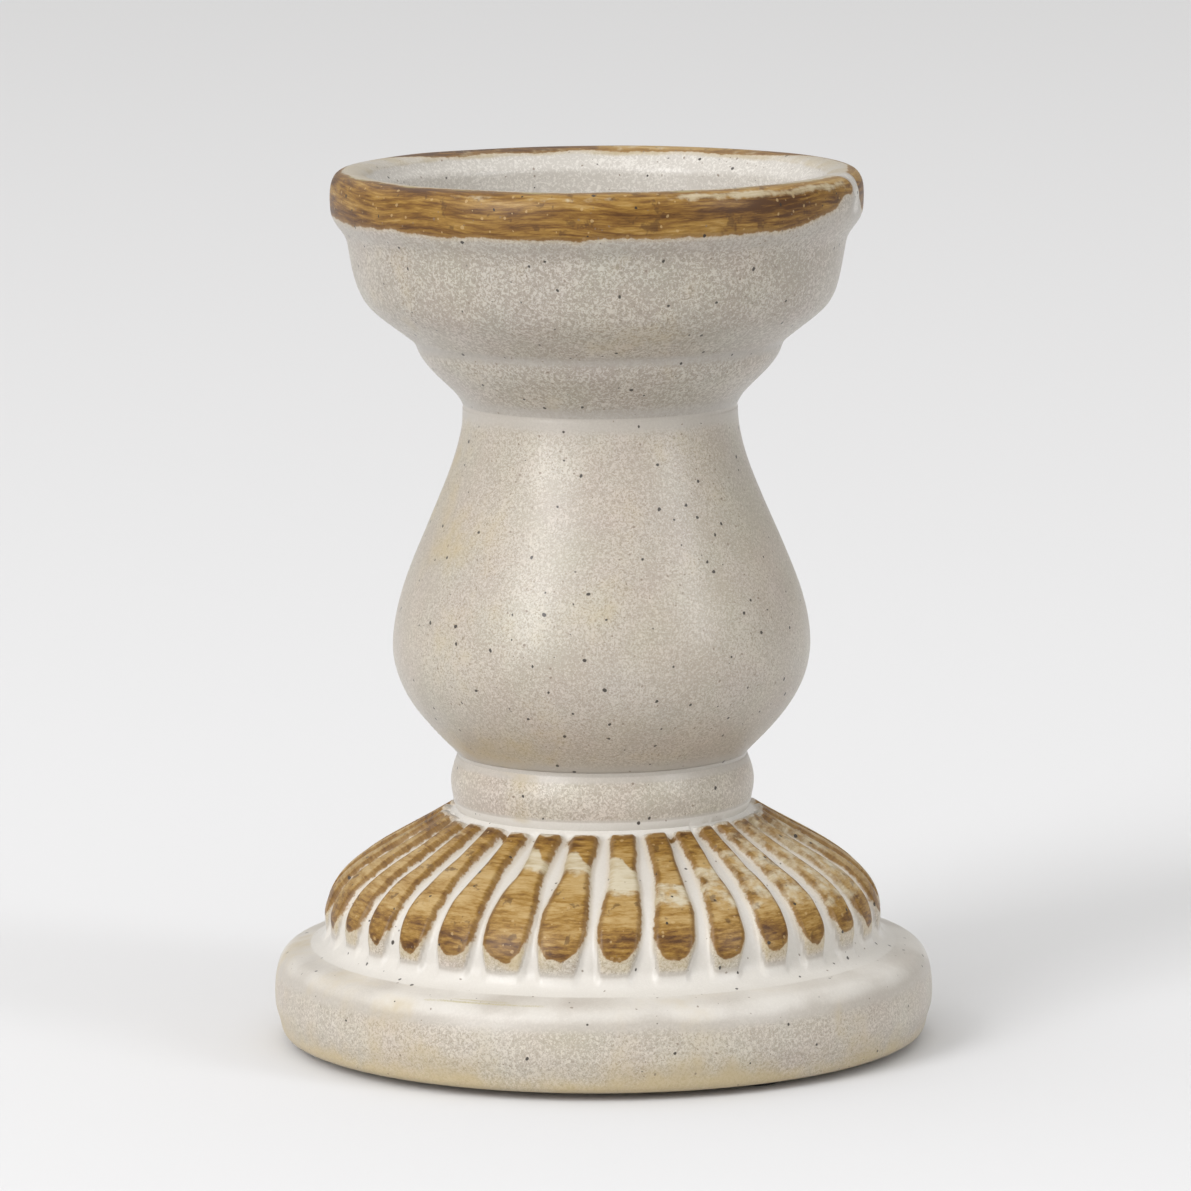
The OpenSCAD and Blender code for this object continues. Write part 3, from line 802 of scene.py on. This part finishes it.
    # white pooled glaze on the ledge, carried down the rounded shoulder partly as a painted highlight
    # where the top light falls
    ledgePoolAndHighlight = smoothStep(z, shoulderZ - 6.0, shoulderZ - 1.2)
    ledgePoolAndHighlight = ledgePoolAndHighlight * (0.68 + 0.12 * ripple(places, 15, 54))
    layers["pool"][plinthRows] = np.clip(ledgePoolAndHighlight + 0.12, 0, 1)[plinthRows]
    beadWhite = smoothStep(z, skirtTop + 0.2, skirtTop - 0.5)
    beadWhite = beadWhite + 0.5 * smoothStep(z, topZ - 2.0, topZ - 0.4)
    layers["pool"][collarRows] = beadWhite[collarRows]
    # thin, toasted glaze towards the foot, darker there partly as painted shade, warmer and darker on
    # the left, and two greenish lines on the ledge
    left = leftSide(degrees, -10)
    toast = 0.20 + 0.11 * ripple(places, 30, 55) + 0.35 * smoothStep(z, footZ + 4, footZ + 0.4)
    toast = toast + 0.3 * smoothStep(z, footZ + 9, footZ + 2) + 0.25 * left
    beadToast = 0.1 + 0.25 * ripple(places, 24, 56) + 0.25 * left
    layers["toast"][plinthRows] = np.clip(toast, 0, 1)[plinthRows]
    layers["toast"][collarRows] = np.clip(beadToast, 0, 1)[collarRows]
    sweep = 0.035 * (degrees + 22) - 4.0 + 0.3 * ripple(places, 40, 57)
    fromJoin = (along - along[skirtStart - 1])[:, None] - sweep
    for lineAt, lineHalf, lift, fadeFrom, fadeTo in shape["lines"]:
        fade = 3 * smoothStep(np.abs(degrees - lineAt), fadeFrom, fadeTo)
        line = np.clip(lineHalf - np.abs(fromJoin - lift) - fade, -1, 1)
        layers["olive"][plinthRows] = np.maximum(layers["olive"], line)[plinthRows]
    underneath = smoothStep(outline[:, :1], flatR + 0.6, flatR - 0.4) * (heights < footZ + 0.4)
    layers["clay"] = underneath + 0.0
    layers["clay"][shownEnd + 2:] = 1
    layers["stroke"] = np.zeros((*radii.shape, 3))
    layers["stroke"][skirtRows] = np.stack([fromTop + 0 * across, 0.22 * across, 9.1 * rib], -1)
    return turnedPiece("ribbedBase", places, layers)


# slip seams

seamShape = {    # for each node: the piece's name, and the inner and outer radius
    "upper_slip_ring": ("upperSlipSeam", 20.3, 26.25),
    "lower_slip_ring": ("lowerSlipSeam", 21.9, 27.85),
}


def makeSeam(node):
    name, innerR, outerR = seamShape[node]
    low, high = (corner.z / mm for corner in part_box(node))
    swellR, inset = outerR - 0.06, 0.25
    outer = curvePoints([outerR, low], [swellR, low + inset], [swellR, high - inset], [outerR, high], 6)
    outline = np.concatenate([[[innerR, low]], outer, [[innerR, high]]])
    azimuth = azimuths(360)
    places = spun(azimuth, outline[:, :1] + 0 * azimuth, outline[:, 1:])
    shade = 0 * azimuth + 0 * outline[:, :1]
    return turnedPiece(name, places, {"pool": shade + 0.5, "toast": shade, "clay": shade})


# rubber pads

padShape = {
    "r": 5.25, "bevel": 0.35, "dish": 0.12, "dishR": 3.1, "segments": 64,
    "dust": [(0.35, (0.028, 0.027, 0.026)), (0.60, (0.050, 0.048, 0.045)), (0.75, (0.11, 0.105, 0.095))],
}


def makePad(number):
    shape = padShape
    low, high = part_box("foot_pad_%d" % number)
    middle = (low + high) / 2 / mm
    bottom, top, r, bevel = low.z / mm, high.z / mm, shape["r"], shape["bevel"]
    dishZ = bottom + shape["dish"]
    outline = np.concatenate([
        [[0, dishZ]],
        bowPoints([shape["dishR"] - 0.5, dishZ], [shape["dishR"], bottom], [0.5, 0], [0.5, 1], 6),
        arcPoints(r - bevel, bottom + bevel, bevel, -90, 0, 6),
        arcPoints(r - bevel / 3, top - bevel / 3, bevel / 3, 0, 90, 4), [[0, top]]])
    azimuth = azimuths(shape["segments"])
    places = spun(azimuth, outline[:, :1] + 0 * azimuth, outline[:, 1:])
    piece = turnedPiece("rubberPad%d" % number, places)
    piece.data.transform(Matrix.Translation(Vector((middle.x, middle.y, 0)) * mm))
    return piece


def makeRubber():
    material = bpy.data.materials.new("padRubber")
    material.use_nodes = True
    tree = material.node_tree
    shader = tree.nodes["Principled BSDF"]
    place = addNode(tree, "ShaderNodeTexCoord").outputs["Object"]
    dust = noiseOf(tree, place, 600, 4, 0.7)
    grain = noiseOf(tree, place, 3500, 2, 0.5)
    color = stops(tree, dust, padShape["dust"])
    tree.links.new(color, shader.inputs["Base Color"])
    tree.links.new(remap(tree, dust, 0.35, 0.7, 0.62, 0.85), shader.inputs["Roughness"])
    bump = addNode(tree, "ShaderNodeBump", {"Strength": 0.4, "Distance": 0.00008, "Height": grain})
    tree.links.new(bump.outputs["Normal"], shader.inputs["Normal"])
    return material


cupGlaze, plainGlaze, baseGlaze = (makeGlaze(name, **own) for name, own in glazes.items())
rubber = makeRubber()
print("glazes and rubber are ready")
fitted(makeCup(), cupGlaze, "candle_cup")
fitted(makeStem(), plainGlaze, "stem")
fitted(makeBase(), baseGlaze, "fluted_base")
for node in seamShape:
    fitted(makeSeam(node), plainGlaze, node)
for number in (1, 2, 3):
    fitted(makePad(number), rubber, "foot_pad_%d" % number)


# studio

studio = {
    "floorR": 9.0, "floorEdges": 96, "floorColor": (0.705, 0.705, 0.71), "floorRough": 0.9,
    "world": (1.0, 0.985, 0.96), "worldLeft": 0.50, "worldRight": 0.37, "aim": (0, 0, 0.09),
    # azimuth and elevation in degrees, distance, width and height in metres, watts, colour
    "lamps": {"keyLamp": (-42, 27, 3.6, 1.27, 2.75, 86, (0.98, 0.98, 1.0)),
              "fillLamp": (59, 23, 3.6, 0.74, 1.7, 32, (0.95, 0.97, 1.0)),
              "topLamp": (-80, 78, 4.6, 16.0, 16.0, 500, (1.0, 1.0, 1.0))},
}


def makeStudio():
    angles = np.arange(studio["floorEdges"]) * 2 * math.pi / studio["floorEdges"]
    edge = [(studio["floorR"] * math.cos(a), studio["floorR"] * math.sin(a), 0) for a in angles]
    mesh = bpy.data.meshes.new("floor")
    mesh.from_pydata(edge, [], [list(range(len(edge)))])
    floor = bpy.data.objects.new("floor", mesh)
    bpy.context.scene.collection.objects.link(floor)
    material = bpy.data.materials.new("paleFloor")
    material.use_nodes = True
    shader = material.node_tree.nodes["Principled BSDF"]
    shader.inputs["Base Color"].default_value = (*studio["floorColor"], 1)
    shader.inputs["Roughness"].default_value = studio["floorRough"]
    shader.inputs["Specular IOR Level"].default_value = 0.0
    mesh.materials.append(material)
    world = bpy.data.worlds.new("paleRoom")
    world.use_nodes = True
    tree = world.node_tree
    tree.nodes["Background"].inputs["Color"].default_value = (*studio["world"], 1)
    around = addNode(tree, "ShaderNodeTexCoord").outputs["Generated"]
    toward = addNode(tree, "ShaderNodeSeparateXYZ", {0: around})
    soft = remap(tree, toward.outputs["X"], -1, 1, studio["worldLeft"], studio["worldRight"])
    tree.links.new(soft, tree.nodes["Background"].inputs["Strength"])
    bpy.context.scene.world = world
    aim = Vector(studio["aim"])
    for name, (azimuth, elevation, distance, width, height, watts, color) in studio["lamps"].items():
        a, e = math.radians(azimuth), math.radians(elevation)
        away = Vector((math.sin(a) * math.cos(e), -math.cos(a) * math.cos(e), math.sin(e)))
        lamp = bpy.data.lights.new(name, "AREA")
        lamp.shape, lamp.size, lamp.size_y = "RECTANGLE", width, height
        lamp.energy, lamp.color = watts, color
        holder = bpy.data.objects.new(name, lamp)
        holder.location = aim + away * distance
        holder.rotation_euler = away.to_track_quat("Z", "Y").to_euler()
        bpy.context.scene.collection.objects.link(holder)


view = {"lens": 231.4, "sensor": 36.0, "distance": 1.468, "elevation": 8.57, "roll": -0.006,
        "aim": (-0.0011, 0.0, 0.0858)}


def makeCamera():
    data = bpy.data.cameras.new("camera")
    data.lens, data.sensor_width, data.clip_end = view["lens"], view["sensor"], 100
    camera = bpy.data.objects.new("camera", data)
    e = math.radians(view["elevation"])
    away = Vector((0, -math.cos(e), math.sin(e)))
    turn = Matrix.Rotation(math.radians(90) - e, 4, "X") @ Matrix.Rotation(view["roll"], 4, "Z")
    camera.matrix_world = Matrix.Translation(Vector(view["aim"]) + away * view["distance"]) @ turn
    bpy.context.scene.collection.objects.link(camera)
    bpy.context.scene.camera = camera
    bpy.context.scene.view_settings.view_transform = "Standard"


makeStudio()
makeCamera()
print("studio and camera are in place")
